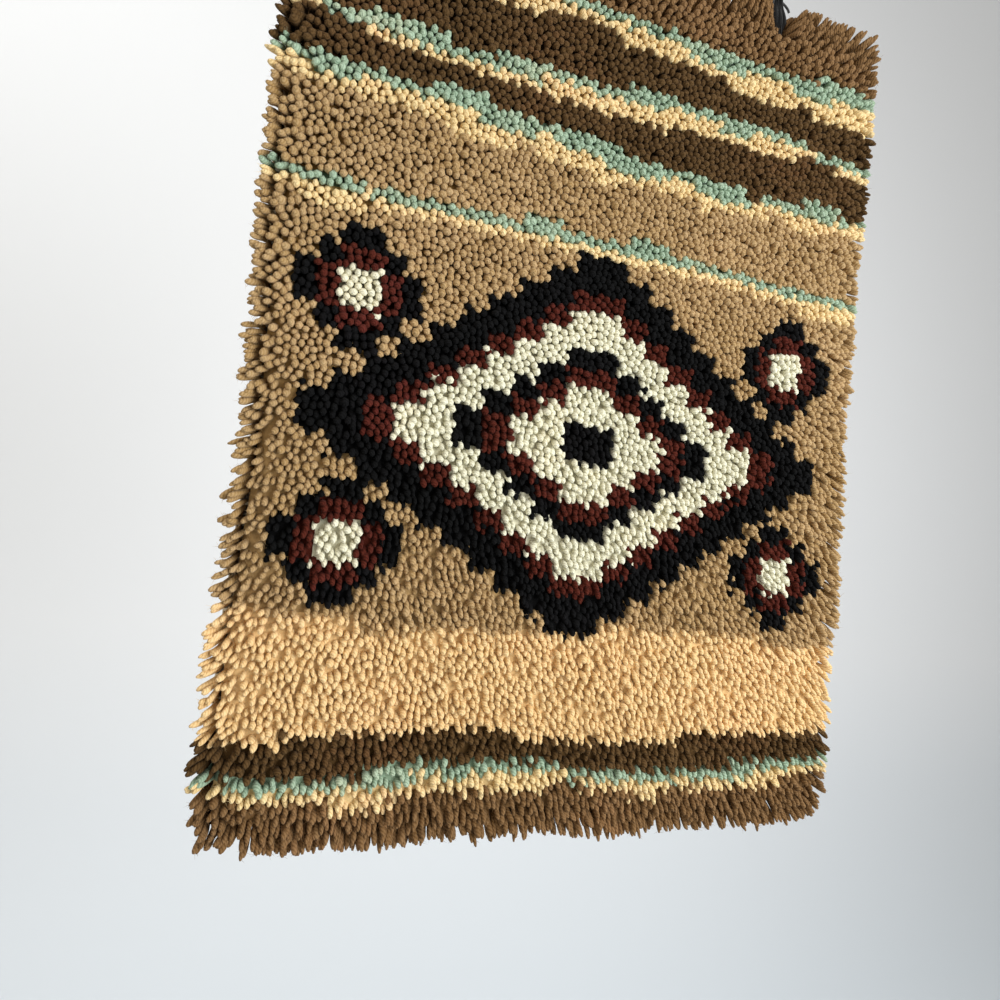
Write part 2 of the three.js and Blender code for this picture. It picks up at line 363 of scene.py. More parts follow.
yarns = {row["name"]: row for row in yarnTable}

# The plies of a twisted end, and what its shade is made up of: 0 is the deep colour and 1 the light one.
# Chance, dye and fibre vary the yarn's own colour; the crest and height terms are painted shade, darker in
# the grooves between plies and towards the root
ply = {
    "count": 3,
    "twist": 12.0,
    "bump": 0.5 * mm,
    "strength": 0.8,
    "fibre": 900,
    "mottle": 9,
    "base": 0.06,
    "byChance": 0.3,
    "byDye": 0.5,
    "shadeInGrooves": 0.5,
    "shadeByHeight": 1.0,
    "evenFrom": 0.8,
    "byFibre": 0.5,
}


def yarnFinish(name, colours):
    settings = {"Roughness": 0.95, "Specular_IOR_Level": 0.06, "Sheen_Roughness": 0.5}
    tint = tuple(0.5 + 0.5 * part for part in colours["light"])
    finish = Finish(name + "Yarn", Sheen_Weight=colours["sheen"], Sheen_Tint=(*tint, 1), **settings)
    around, along, _ = splitVector(finish, finish.node("ShaderNodeUVMap", {"uv_map": "tuft"}))
    tone, hue, _ = splitVector(finish, meshVector(finish, "tone", 1))
    mottle, fibre = noise(finish, ply["mottle"], 2.0), noise(finish, ply["fibre"], 2.0)
    strand = pingPong(finish, around * ply["count"] + along * ply["twist"])
    crest = 1 - (1 - strand) ** 2
    # Painted shade: darker in the ply grooves and towards the root; chance, dye and fibre are the yarn's own
    # variation
    shade = ply["base"] + tone * ply["byChance"] + (mottle - 0.5) * ply["byDye"] + crest * ply["shadeInGrooves"]
    shade = shade + (along - ply["evenFrom"]) * ply["shadeByHeight"] + (fibre - 0.5) * ply["byFibre"]
    drift = clamped(finish, (mottle - 0.45) * 4 * hue)
    light = mixColour(finish, drift, colours["light"], colours["drift"])
    colour = mixColour(finish, clamped(finish, shade), colours["deep"], light)
    normal = bumps(finish, ply["strength"], ply["bump"], crest + fibre * 0.6)
    return finish.feed(Base_Color=colour, Normal=normal)


yarnMaterials = {name: yarnFinish(name, colours) for name, colours in yarns.items()}
print("yarn materials:", len(yarnMaterials))

# The chart: bands from the bottom row up. Each ends at a row, wandering by so many rows in its own rhythm
bands = table(
    "top yarn wander rhythm",
    (4.0, "brown", 0.7, 1.0),
    (5.3, "cream", 0.7, 1.3),
    (6.5, "mint", 0.6, 1.5),
    (9.6, "darkBrown", 0.6, 2.1),
    (20.5, "sand", 0.5, 3.3),
    (59.7, "tan", 0.3, 4.2),
    (61.0, "cream", 0.4, 4.4),
    (62.3, "mint", 0.3, 4.3),
    (69.3, "tan", 1.0, 5.6),
    (71.1, "cream", 1.2, 5.4),
    (72.6, "mint", 1.2, 5.1),
    (76.7, "darkBrown", 1.0, 6.3),
    (77.9, "cream", 1.2, 6.6),
    (79.3, "mint", 1.2, 6.8),
    (83.9, "darkBrown", 1.0, 7.7),
    (86.2, "cream", 1.2, 8.2),
    (87.6, "mint", 1.1, 8.5),
    (99, "brown", 0, 1),
)

# Stepped lozenges on the tan field: middle, step sizes in knots, and a yarn for each ring from inside out
bigRings = ["black", "white", "white", "red", "black", "white", "white", "red", "black", "black"]
smallRings = ["white", "red", "black"]
lozenges = table(
    "column row wide tall rings",
    (33.5, 39.5, 3, 2, bigRings),
    (8.5, 27.5, 2, 2, smallRings),
    (58.5, 27.5, 2, 2, smallRings),
    (8.5, 51.5, 2, 2, smallRings),
    (58.5, 51.5, 2, 2, smallRings),
)


def wanderOf(column, rhythm):
    slow = math.sin(column / (4.5 + rhythm) + 2.4 * rhythm)
    quick = math.sin(column / 2.3 + 5.1 * rhythm)
    return 0.7 * slow + 0.3 * quick


def yarnAt(column, row):
    for shape in lozenges:
        across = int(abs(column - shape["column"]) / shape["wide"])
        up = int(abs(row - shape["row"]) / shape["tall"])
        if across + up < len(shape["rings"]):
            return shape["rings"][across + up]
    for band in bands:
        if row + 0.5 < band["top"] + band["wander"] * wanderOf(column, band["rhythm"]):
            return band["yarn"]
    return bands[-1]["yarn"]


# The pile: two cut ends to a knot
pile = {
    "rootOut": 0.4 * mm,
    "length": 26.5 * mm,
    "lengthSpread": 0.9 * mm,
    "radius": 3.15 * mm,
    "laidRadius": 2.15 * mm,
    "topRadius": 2.2 * mm,
    "topDepth": 75 * mm,
    "outerRadius": 2.35 * mm,
    "rimSpread": 1.8 * mm,
    "radiusSpread": 0.09,
    "squash": 0.14,
    "pairAcross": 0.25,
    "pairUp": 0.24,
    "edgePair": 0.08,
    "sideUp": 0.25,
    "sideSpread": (0.85, 1.1),
    "jitter": 0.45 * mm,
    "tipJitter": 1.25 * mm,
    "laidJitter": 2.3 * mm,
    "clump": 0.9 * mm,
    "clumpLengths": (31 * mm, 43 * mm, 17 * mm),
    "swellDepth": 1.1 * mm,
    "swellLengths": (23 * mm, 31 * mm, 14 * mm),
    "spacing": 5.75 * mm,
    "laidSpacing": 4.9 * mm,
    "rimSpacing": 3.7 * mm,
    "settle": 30,
    "settleStep": 0.3,
    "mostSwell": 1.32,
    "laidSwell": 1.12,
    "laidFrom": 260 * mm,
    "laidOver": 240 * mm,
    "droop": 10 * mm,
    "laidDroop": 2.5 * mm,
    "leftLean": 8 * mm,
    "rightLean": 5 * mm,
    "sideReach": 6 * mm,
    "leftCalm": 0.6,
    "leftCalmReach": 26 * mm,
    "broadLean": 8 * mm,
    "broadReach": 30 * mm,
    "cornerLean": 9 * mm,
    "topLean": 18 * mm,
    "topReach": 26 * mm,
    "bottomLean": 6.5 * mm,
    "bottomReach": 14 * mm,
    "cornerCalm": 0.5,
    "calmReach": 26 * mm,
    "mostLean": 0.86,
    "bend": 2.1,
    "rimRows": 3,
    "mostTriangles": 150000,
    "seed": 11,
}

# One cut end: shares of the length and of the radius, from the root to the tip
plainEnd = {"sides": 6, "rings": [(0.1, 0.6), (0.86, 1.0), (0.945, 0.84), (1.0, 0.4)]}
rimEnd = {"sides": 7, "rings": [(0, 0.6), (0.35, 0.76), (0.65, 0.93), (0.86, 1.0), (0.95, 0.8), (1.0, 0.4)]}


def modelEnd(shape):
    # A disc drawn up ring by ring to a blunt tip
    rings = shape["rings"]
    disc = {"vertices": shape["sides"], "radius": rings[0][1], "fill_type": "NGON"}
    end = addShape(bpy.ops.mesh.primitive_circle_add, **disc)
    editAll()
    for (low, before), (high, after) in zip(rings, rings[1:]):
        bpy.ops.mesh.extrude_region_move(TRANSFORM_OT_translate={"value": (0, 0, high - low)})
        ratio = after / before
        bpy.ops.transform.resize(value=(ratio, ratio, 1), center_override=(0, 0, high))
    closeEdit()
    points, faces = takeShape(end)
    points[:, 2] += rings[0][0]
    turn = np.arctan2(points[:, 1], points[:, 0])
    around = []
    for face in faces:
        shares = np.mod(turn[face] / (2 * np.pi), 1.0)
        if shares.max() - shares.min() > 0.5 and len(face) == 4:
            shares = np.where(shares < 0.5, shares + 1, shares)
        around += [(share, points[v, 2]) for share, v in zip(shares, face)]
    return {"points": points, "faces": faces, "uv": np.array(around)}


def joinCopies(name, template, places, tones, yarnColours=None):
    # Many copies of one modelled shape as a single mesh; places holds each copy's points
    copies, count = places.shape[:2]
    sizes = np.array([len(face) for face in template["faces"]])
    corners = np.concatenate([np.array(face) for face in template["faces"]])
    mesh = bpy.data.meshes.new(name)
    mesh.vertices.add(copies * count)
    setAll(mesh.vertices, "co", places)
    mesh.loops.add(copies * len(corners))
    allCorners = (corners[None, :] + (np.arange(copies) * count)[:, None]).astype(np.int32)
    mesh.loops.foreach_set("vertex_index", allCorners.ravel())
    mesh.polygons.add(copies * len(sizes))
    starts = np.concatenate([[0], np.cumsum(sizes)[:-1]])
    allStarts = (starts[None, :] + (np.arange(copies) * len(corners))[:, None]).astype(np.int32)
    mesh.polygons.foreach_set("loop_start", allStarts.ravel())
    mesh.update(calc_edges=True)
    setAll(mesh.uv_layers.new(name="tuft").data, "uv", np.tile(template["uv"], (copies, 1)))
    setVectors(mesh, "tone", "POINT", np.repeat(tones, count, axis=0))
    if yarnColours is not None:
        setVectors(mesh, "yarnColourAndShade", "POINT", np.repeat(yarnColours, count, axis=0))
    mesh.polygons.foreach_set("use_smooth", np.ones(copies * len(sizes), bool))
    mesh.validate()
    piece = bpy.data.objects.new(name, mesh)
    bpy.context.scene.collection.objects.link(piece)
    return piece


def slowField(across, down, lengths, phase):
    # A soft unevenness from crossing waves, about -1 to 1
    a, b, c = lengths
    first = np.sin(across / a + 1.7 * np.sin(down / b) + phase)
    second = np.sin(down / a - 1.3 * np.sin(across / c) + 2 * phase)
    return (first * second + 0.5 * np.sin((across + down) / c + 3 * phase)) / 1.5


# A clip's jaws from tip to thumb end, in mm: height over the canvas's top edge, half width,
# and how far the inner face lies in front of the canvas
frontJaw = table(
    "up half out",
    (-14.5, 2.2, 10.6),
    (-9, 4.3, 9.6),
    (-4, 6.7, 9.4),
    (0, 8.1, 9.4),
    (6, 7.5, 9),
    (12, 6.2, 7.6),
    (16.5, 5.3, 6.2),
    (23.5, 4.6, 6.2),
    (29, 4.3, 7.8),
    (34, 3.4, 10),
)
backJaw = table(
    "up half out",
    (-13.5, 3, -1.9),
    (-6, 5.6, -1.9),
    (0, 7.2, -1.9),
    (12, 6, -1.9),
    (16.5, 5.3, 0.4),
    (23.5, 4.6, 0.4),
    (29, 4.3, -1),
    (34, 3.4, -2.4),
)
press = {"clear": 3.2 * mm, "part": 17 * mm, "partBelow": 17 * mm, "partReach": 9 * mm, "under": 2.4 * mm}


def laidAt(down):
    # The lower pile has been smoothed down: 0 above, 1 below
    return ease((down - pile["laidFrom"]) / pile["laidOver"])


def leanField(across, down):
    # How far each end's tip leans sideways and down from over its root
    toLeft, toRight = across + rug["width"] / 2, rug["width"] / 2 - across
    toBottom = rug["height"] - down
    sideways = pile["rightLean"] * np.exp(-toRight / pile["sideReach"])
    sideways -= pile["leftLean"] * np.exp(-toLeft / pile["sideReach"])
    atTop = np.exp(-down / pile["topReach"])
    broad = pile["broadLean"] + pile["cornerLean"] * atTop
    sideways += broad * (np.exp(-toRight / pile["broadReach"]) - np.exp(-toLeft / pile["broadReach"]))
    downwards = (pile["droop"] + pile["laidDroop"] * laidAt(down)) * (1 - atTop) - pile["topLean"] * atTop
    downwards += pile["bottomLean"] * np.exp(-toBottom / pile["bottomReach"])
    downwards *= 1 - pile["leftCalm"] * np.exp(-toLeft / pile["leftCalmReach"])
    inCorner = np.exp(-(np.minimum(toLeft, toRight) + toBottom) / pile["calmReach"])
    calm = 1 - pile["cornerCalm"] * inCorner
    return sideways * calm, downwards * calm


neighbours = [(row, column) for row in (-1, 0, 1) for column in (-1, 0, 1)]


def settleTips(tips, laid, inward):
    # Tips that crowd each other move apart: tips is 2 ends x rows x columns x 2
    spacing = blend(pile["spacing"], pile["laidSpacing"], laid)
    spacing = blend(pile["rimSpacing"], spacing, ease(inward / pile["rimRows"]))[..., None]
    for _ in range(pile["settle"]):
        push = np.zeros_like(tips)
        for step in neighbours:
            for one, other in ((0, 0), (0, 1), (1, 0), (1, 1)):
                if step == (0, 0) and one == other:
                    continue
                apart = tips[one] - np.roll(tips[other], step, axis=(0, 1))
                distance = np.maximum(np.linalg.norm(apart, axis=-1, keepdims=True), 1e-6)
                push[one] += apart / distance * np.clip(spacing[one] - distance, 0, None)
        tips = tips + push * pile["settleStep"]
    return tips


def roomAt(tips):
    # The mean distance from each tip to its five nearest
    distances = []
    for step in neighbours:
        for other in (0, 1):
            moved = np.roll(tips[other], step, axis=(0, 1))
            distances.append(np.linalg.norm(tips - moved[None], axis=-1))
    distances = np.sort(np.stack(distances), axis=0)
    return distances[1:6].mean(axis=0)


# The further ends of the outermost knots, thinner where the pile is laid; aside and stray in mm
looseEnd = {
    "radius": 2.1 * mm,
    "laid": 1.65 * mm,
    "aside": 2,
    "stray": 1.2,
    "leans": (0.8, 1.05),
    "heights": (0.8, 1.1),
}


def addLoose(ends, chosen, chance):
    # Thinner ends beside the chosen ones
    count = len(chosen)
    loose = {key: value[chosen] for key, value in ends.items()}
    for key in ("across", "down"):
        loose[key] = loose[key] + chance.uniform(-looseEnd["aside"], looseEnd["aside"], count) * mm
    for key in ("sideways", "downwards"):
        loose[key] = loose[key] * chance.uniform(*looseEnd["leans"], count)
        loose[key] = loose[key] + chance.normal(0, looseEnd["stray"], count) * mm
    thin = blend(looseEnd["radius"], looseEnd["laid"], laidAt(loose["down"]))
    loose["radius"] = thin * (1 + chance.normal(0, pile["radiusSpread"], count))
    loose["height"] = loose["height"] * chance.uniform(*looseEnd["heights"], count)
    return {key: np.concatenate([value, loose[key]]) for key, value in ends.items()}


def placeEnds():
    # Every cut end's root, lean, length and yarn
    chance = np.random.default_rng(pile["seed"])
    grid = (2, rug["rows"], rug["columns"])
    side, rows, columns = np.meshgrid(*[np.arange(n) for n in grid], indexing="ij")
    side = 2 * side - 1
    hand = np.where(chance.random(grid[1:]) < 0.5, 1, -1)[None]
    atSide = np.isin(columns, (0, rug["columns"] - 1))
    atEnd = np.isin(rows, (0, rug["rows"] - 1)) & ~atSide
    pairAcross = side * np.where(atSide, pile["edgePair"], pile["pairAcross"])
    laid = laidAt(rug["height"] - (rows + 0.5) * pitchUp)
    pairUp = np.where(atEnd, pile["edgePair"], hand * pile["pairUp"])
    pairUp = side * np.where(atSide, pile["sideUp"], pairUp)
    across = (columns + 0.5 + pairAcross) * pitchAcross - rug["width"] / 2
    down = rug["height"] - (rows + 0.5 + pairUp) * pitchUp
    across = across + chance.normal(0, pile["jitter"], grid)
    down = down + chance.normal(0, pile["jitter"], grid)
    sideways, downwards = calmLean(across, down)
    sideways = sideways * np.where(atSide, chance.uniform(*pile["sideSpread"], grid), 1.0)
    jitter = blend(pile["tipJitter"], pile["laidJitter"], laid)
    sideways = sideways + chance.normal(0, 1, grid) * jitter
    downwards = downwards + chance.normal(0, 1, grid) * jitter
    inward = np.minimum.reduce([columns, rug["columns"] - 1 - columns, rows, rug["rows"] - 1 - rows])
    tips = settleTips(np.stack([across + sideways, down + downwards], axis=-1), laid, inward)
    sideways, downwards = tips[..., 0] - across, tips[..., 1] - down
    spread = np.where(rows == 0, pile["rimSpread"], pile["lengthSpread"])
    length = pile["length"] + chance.normal(0, 1, grid) * spread
    length += pile["swellDepth"] * slowField(across, down, pile["swellLengths"], 1.3)
    sideways, downwards, height = standUp(across, down, sideways, downwards, length)
    knotYarn = np.array([[yarnAt(c, r) for c in range(rug["columns"])] for r in range(rug["rows"])])
    ends = {"across": across, "down": down, "sideways": sideways, "downwards": downwards, "height": height}
    ends["rim"] = inward < pile["rimRows"]
    ends["yarn"] = np.stack([knotYarn, knotYarn])
    radius = blend(pile["radius"], pile["topRadius"], 1 - ease(down / pile["topDepth"]))
    radius = radius + (pile["laidRadius"] - pile["radius"]) * laid
    radius = np.where(inward == 0, np.minimum(pile["outerRadius"], radius), radius)
    most = blend(pile["mostSwell"], pile["laidSwell"], laid)
    swell = np.where(ends["rim"], 1.0, np.clip(roomAt(tips) / (2 * radius), 1.0, most))
    ends["radius"] = radius * swell * (1 + chance.normal(0, pile["radiusSpread"], grid))
    ends["spin"] = chance.random(grid) * 2 * np.pi
    ends["squash"] = chance.uniform(-pile["squash"], pile["squash"], grid)
    ends = {key: value.ravel() for key, value in ends.items()}
    twice = [np.nonzero(some.ravel())[0] for some in (inward == 0, rows < 2)]
    ends = addLoose(ends, np.concatenate(twice), chance)
    ends["tone"] = chance.random((len(ends["across"]), 3))
    return ends


def pressUnderClip(clipX, across, down, sideways, downwards, lid):
    # Ends under the front jaw are pressed flat, and those beside or below it lie away from it
    root = onRug(across, down, 0)
    rootOff, rootUp = root[..., 0] - clipX, root[..., 2] - rug["canvasTop"]
    tipUp = frontJaw[0]["up"] * mm
    half = tableValue(frontJaw, "up", rootUp, "half")
    beside, below = np.clip(np.abs(rootOff) - half, 0, None), np.clip(tipUp - rootUp, 0, None)
    near = np.exp(-np.hypot(beside, below) / press["partReach"])
    away = np.hypot(rootOff, below) + 1e-9
    sideways = sideways + press["part"] * near * rootOff / away
    downwards = downwards + press["partBelow"] * near * below / away
    held = (beside == 0) & (below == 0)
    lidHere = tableValue(frontJaw, "up", np.maximum(rootUp, tipUp), "out") - press["under"]
    lid = np.where(held, np.minimum(lid, lidHere), lid)
    off, up = rootOff + sideways, rootUp - downwards
    half = tableValue(frontJaw, "up", up, "half") + press["clear"]
    covering = (up > tipUp - press["clear"]) & (np.abs(off) < half) & ~held
    fromBelow = covering & (rootUp < tipUp)
    downwards = np.where(fromBelow, downwards + up - tipUp + press["clear"], downwards)
    sideways = np.where(covering & ~fromBelow, sideways + np.sign(rootOff) * (half - np.abs(off)), sideways)
    return sideways, downwards, lid


def calmLean(across, down):
    # The lean that neighbouring ends share, before chance moves each on its own
    sideways, downwards = leanField(across, down)
    sideways = sideways + pile["clump"] * slowField(across, down, pile["clumpLengths"], 0.4)
    downwards = downwards + pile["clump"] * slowField(across, down, pile["clumpLengths"], 2.9)
    return sideways, downwards


def standUp(across, down, sideways, downwards, length):
    # Clips press the ends, and an end's height is what its lean leaves of its length
    lid = np.full(across.shape, 1.0)
    for clipX in (-clipOffset, clipOffset):
        sideways, downwards, lid = pressUnderClip(clipX, across, down, sideways, downwards, lid)
    lean = np.hypot(sideways, downwards)
    most = pile["mostLean"] * length
    shrink = np.where(lean > most, most / np.maximum(lean, 1e-9), 1.0)
    sideways, downwards = sideways * shrink, downwards * shrink
    upright = np.sqrt(length**2 - sideways**2 - downwards**2)
    return sideways, downwards, np.minimum(upright, lid)


def endCurve(sideways, downwards, height, along):
    # How far bent ends are from their roots at these shares of their length, and which way they go
    bend = pile["bend"]
    reach = along**bend
    offset = np.stack([sideways * reach, -height * along, -downwards * reach], axis=-1)
    slope = bend * np.maximum(along, 1e-6) ** (bend - 1)
    tangent = np.stack([sideways * slope, -height * np.ones_like(slope), -downwards * slope], axis=-1)
    return offset, unit(tangent)


def endPoints(template, ends, chosen):
    # Each end bends over as it rises: its rings follow the curve and stand square to it
    points = template["points"]
    root = onRug(ends["across"][chosen], ends["down"][chosen], pile["rootOut"])
    keys = ("sideways", "downwards", "height", "spin", "radius", "squash")
    sideways, downwards, height, spin, radius, squash = (ends[key][chosen][:, None] for key in keys)
    offset, tangent = endCurve(sideways, downwards, height, points[:, 2][None, :])
    sideAxis = unit(np.cross(tangent, np.array([0.0, 0.0, 1.0])))
    upAxis = np.cross(sideAxis, tangent)
    a = (points[:, 0] * np.cos(spin) - points[:, 1] * np.sin(spin)) * radius * (1 + squash)
    b = (points[:, 0] * np.sin(spin) + points[:, 1] * np.cos(spin)) * radius * (1 - squash)
    return root[:, None, :] + offset + sideAxis * a[..., None] - upAxis * b[..., None]


# The yarn's bloom: a slab that fills the pile between the ends to about three quarters of their height; its
# colour is mostly the yarn's deep colour, painted shade in the gaps between the ends
core = {
    "inset": 1,
    "share": 0.7,
    "laidShare": 0.76,
    "tone": 0.12,
    "laidTone": 0.52,
    "lump": 0.9 * mm,
    "lumpLengths": (3.1 * mm, 3.7 * mm, 2.3 * mm),
    "slope": 18 * mm,
    "atRim": 0.5,
    "atClip": 0.75,
    "clipReach": 15 * mm,
    "foot": 0.2 * mm,
}


def coreFinish():
    finish = Finish("yarnBloom", Roughness=0.95, Specular_IOR_Level=0.05)
    fibre = noise(finish, 600.0, 3.0)
    # Painted shade: the slab's colour attribute holds the yarn's colour darkened mostly to its deep colour
    colour = shaded(finish, meshVector(finish, "yarnColourAndShade", 0), 0.7 + fibre * 0.6)
    return finish.feed(Base_Color=colour, Normal=bumps(finish, 0.8, 0.6 * mm, fibre))


def addPileCore():
    # A slab over all knots but the outermost, its face carried along with the leaning ends
    inset = core["inset"]
    countAcross, countUp = rug["columns"] - 2 * inset, rug["rows"] - 2 * inset
    slab = addGrid(countAcross, countUp)
    editAll()
    bpy.ops.mesh.extrude_region_move(TRANSFORM_OT_translate={"value": (0, 0, 1)})
    closeEdit()
    flat = np.array([v.co for v in slab.data.vertices], float)
    across = flat[:, 0] * rug["width"] * countAcross / rug["columns"]
    down = rug["height"] * (0.5 - flat[:, 1] * countUp / rug["rows"])
    sideways, downwards = calmLean(across, down)
    lengths = np.full(len(flat), pile["length"])
    sideways, downwards, height = standUp(across, down, sideways, downwards, lengths)
    toSide = rug["width"] / 2 - np.abs(across)
    toEnd = rug["height"] / 2 - np.abs(down - rug["height"] / 2)
    share = blend(core["share"], core["laidShare"], laidAt(down))
    share = share * blend(core["atRim"], 1, ease(np.minimum(toSide, toEnd) / core["slope"]))
    for clipX in (-clipOffset, clipOffset):
        off, below = across - clipX, np.clip(down + frontJaw[0]["up"] * mm, 0, None)
        share = share * (1 - core["atClip"] * np.exp(-(off**2 + below**2) / core["clipReach"] ** 2))
    lump = core["lump"] * slowField(across, down, core["lumpLengths"], 0.7)
    front = onRug(across, down, height * share + lump)
    front += np.stack([sideways, np.zeros(len(flat)), -downwards], axis=-1) * share[:, None] ** pile["bend"]
    back = onRug(across, down, core["foot"])
    setAll(slab.data.vertices, "co", np.where(flat[:, 2:] > 0.5, front, back))
    middles = np.array([flat[list(face.vertices), :2].mean(axis=0) for face in slab.data.polygons])
    columns, rows = (
        np.clip((middles[:, k] + 0.5) * count, 0, count - 1).astype(int) + inset
        for k, count in enumerate((countAcross, countUp))
    )
    charted = [yarns[yarnAt(c, r)] for c, r in zip(columns, rows)]
    light, deep = (np.array([yarn[key] for yarn in charted]) for key in ("light", "deep"))
    laid = laidAt((rug["rows"] - 0.5 - rows) / rug["rows"] * rug["height"])[:, None]
    # Painted shade: the slab takes mostly the deep colour, lighter where the pile is laid
    tone = blend(core["tone"], core["laidTone"], laid)
    setVectors(slab.data, "yarnColourAndShade", "FACE", blend(deep, light, tone))
    makeOnly(slab)
    bpy.ops.object.shade_smooth()
    return finishPiece(slab, "pileCore", coreFinish(), ["pile"])


def trianglesOf(template):
    return sum(len(face) - 2 for face in template["faces"])


# Loose fibres that stand off the ends
fuzz = {
    "perRimEnd": 5,
    "perEnd": 0.8,
    "from": 0.72,
    "sunk": 0.7,
    "follow": (0.2, 1.1),
    "stray": 0.35,
    "length": 3.6 * mm,
    "lengths": (0.5, 1.4),
    "width": 0.11 * mm,
    "seed": 5,
}


def modelFibre():
    # A three-sided spike
    spike = addShape(bpy.ops.mesh.primitive_cone_add, vertices=3, radius1=1, radius2=0, depth=1)
    editAll()
    bpy.ops.transform.translate(value=(0, 0, 0.5))
    bpy.ops.object.mode_set(mode="OBJECT")
    points, faces = takeShape(spike)
    return {"points": points, "faces": faces, "uv": np.full((sum(map(len, faces)), 2), (0.5, 1.0))}


def addFuzz(ends):
    chance = np.random.default_rng(fuzz["seed"])
    wanted = np.where(ends["rim"], fuzz["perRimEnd"], fuzz["perEnd"])
    number = (wanted + chance.random(len(wanted))).astype(int)
    which = np.repeat(np.arange(len(wanted)), number)
    count = len(which)
    share = chance.uniform(fuzz["from"], 1.0, count)
    sideways, downwards, height = (ends[key][which] for key in ("sideways", "downwards", "height"))
    offset, tangent = endCurve(sideways, downwards, height, share)
    middle = onRug(ends["across"][which], ends["down"][which], pile["rootOut"]) + offset
    outward = unit(np.cross(tangent, chance.normal(0, 1, (count, 3))))
    start = middle + outward * (ends["radius"][which] * fuzz["sunk"])[:, None]
    follow = tangent * chance.uniform(*fuzz["follow"], (count, 1))
    along = unit(follow + outward + chance.normal(0, fuzz["stray"], (count, 3)))
    sideAxis = unit(np.cross(along, np.array([0.3, 0.5, 0.8])))
    upAxis = np.cross(along, sideAxis)
    length = fuzz["length"] * chance.uniform(*fuzz["lengths"], count)
    template = modelFibre()
    points = template["points"]
    x, y, z = points[:, 0] * fuzz["width"], points[:, 1] * fuzz["width"], points[:, 2]
    places = start[:, None] + sideAxis[:, None] * x[None, :, None] + upAxis[:, None] * y[None, :, None]
    places = places + along[:, None] * (length[:, None] * z[None, :])[..., None]
    pieces = []
    for yarn in yarns:
        chosen = np.nonzero(ends["yarn"][which] == yarn)[0]
        piece = joinCopies(yarn + "Fuzz", template, places[chosen], ends["tone"][which][chosen])
        pieces.append(finishPiece(piece, yarn + "Fuzz", yarnMaterials[yarn], ["pile"]))
    print("fuzz:", count, "fibres")
    return pieces


def addPile():
    ends = placeEnds()
    templates = {False: modelEnd(plainEnd), True: modelEnd(rimEnd)}
    pieces = []
    for yarn in yarns:
        for atRim in (False, True):
            chosen = np.nonzero((ends["yarn"] == yarn) & (ends["rim"] == atRim))[0]
            if not len(chosen):
                continue
            template = templates[atRim]
            chosen = chosen[np.argsort(ends["across"][chosen])]
            parts = math.ceil(len(chosen) * trianglesOf(template) / pile["mostTriangles"])
            for k, part in enumerate(np.array_split(chosen, parts)):
                name = f"{yarn}{'Rim' if atRim else 'Pile'}{k + 1}"
                piece = joinCopies(name, template, endPoints(template, ends, part), ends["tone"][part])
                pieces.append(finishPiece(piece, name, yarnMaterials[yarn], ["pile"]))
    print("pile:", len(ends["across"]), "cut ends in", len(pieces), "pieces")
    return pieces + addFuzz(ends)


pilePieces = addPile() + [addPileCore()]

# The canvas: one thin sheet of stiff open weave, its threads between the knots; its holes are painted shade
# on the closed sheet
canvas = {
    "gridAcross": 34,
    "gridDown": 47,
    "core": 0.22,
    "thread": 0.34,
    "corner": 16 * mm,
    "holeShade": (0.10, 0.075, 0.05),
    "cotton": (0.74, 0.68, 0.54),
}


def canvasFinish():
    finish = Finish("rugCanvas", Roughness=0.92, Specular_IOR_Level=0.2)
    across, down, _ = splitVector(finish, finish.node("ShaderNodeUVMap", {"uv_map": "weave"}))
    warp, weft = pingPong(finish, across * rug["columns"]), pingPong(finish, down * rug["rows"] + 0.5)
    nearest = finish.node("ShaderNodeMath", {"operation": "MINIMUM"}, [warp, weft])
    edge = [nearest, canvas["core"], canvas["thread"], 0.0, 1.0]
    thread = 1 - finish.node("ShaderNodeMapRange", {"interpolation_type": "SMOOTHSTEP"}, edge)
    split = finish.node("ShaderNodeMath", {"operation": "PINGPONG"}, [nearest, canvas["core"] / 2]) * 9
    fibre = noise(finish, 700.0, 3.0)
    # Painted shade: the weave's holes are dark, and each thread is darker along its edges and along the split
    # between its pair
    tone = clamped(finish, thread * (0.75 + split * 0.25) + (fibre - 0.5) * 0.35)
    normal = bumps(finish, 0.9, 0.8 * mm, thread + split * 0.3 + fibre * 0.3)
    return finish.feed(Base_Color=mixColour(finish, tone, canvas["holeShade"], canvas["cotton"]), Normal=normal)


def addCanvas():
    sheet = addGrid(canvas["gridAcross"], canvas["gridDown"])
    flat = np.array([v.co for v in sheet.data.vertices], float)
    across, down = flat[:, 0] * rug["width"], (0.5 - flat[:, 1]) * rug["height"]
    across, down = roundCorners(across, down)
    layer = sheet.data.uv_layers.active
    layer.name = "weave"
    corners = np.array([loop.vertex_index for loop in sheet.data.loops])
    shares = np.stack([across / rug["width"] + 0.5, down / rug["height"]], axis=-1)
    setAll(layer.data, "uv", shares[corners])
    setAll(sheet.data.vertices, "co", onRug(across, down, -rug["canvasThick"] / 2))
    sheet.data.update()
    applyModifier(sheet, "SOLIDIFY", thickness=rug["canvasThick"], offset=0)
    makeOnly(sheet)
    editAll()
    closeEdit()
    smoothEdges(sheet, 40)
    return finishPiece(sheet, "canvasSheet", canvasFinish(), ["canvas"])


def roundCorners(across, down):
    # Draws the sheet's four corners in to their radius
    r, middle = canvas["corner"], rug["height"] / 2
    x, y = np.abs(across), np.abs(down - middle)
    startX, startY = rug["width"] / 2 - r, rug["height"] / 2 - r
    dx, dy = x - startX, y - startY
    inCorner = (dx > 0) & (dy > 0)
    scale = np.where(inCorner, np.maximum(dx, dy) / np.maximum(np.hypot(dx, dy), 1e-9), 1.0)
    x, y = np.where(inCorner, startX + dx * scale, x), np.where(inCorner, startY + dy * scale, y)
    return np.sign(across) * x, middle + np.sign(down - middle) * y


canvasSheet = addCanvas()
print("canvas sheet made")

# The back of each knot: two strands side by side over the canvas's cross thread
knotBack = {"half": 2.9 * mm, "tall": 2.6 * mm, "proud": 1.3 * mm, "top": 0.55, "endTaper": 0.6}


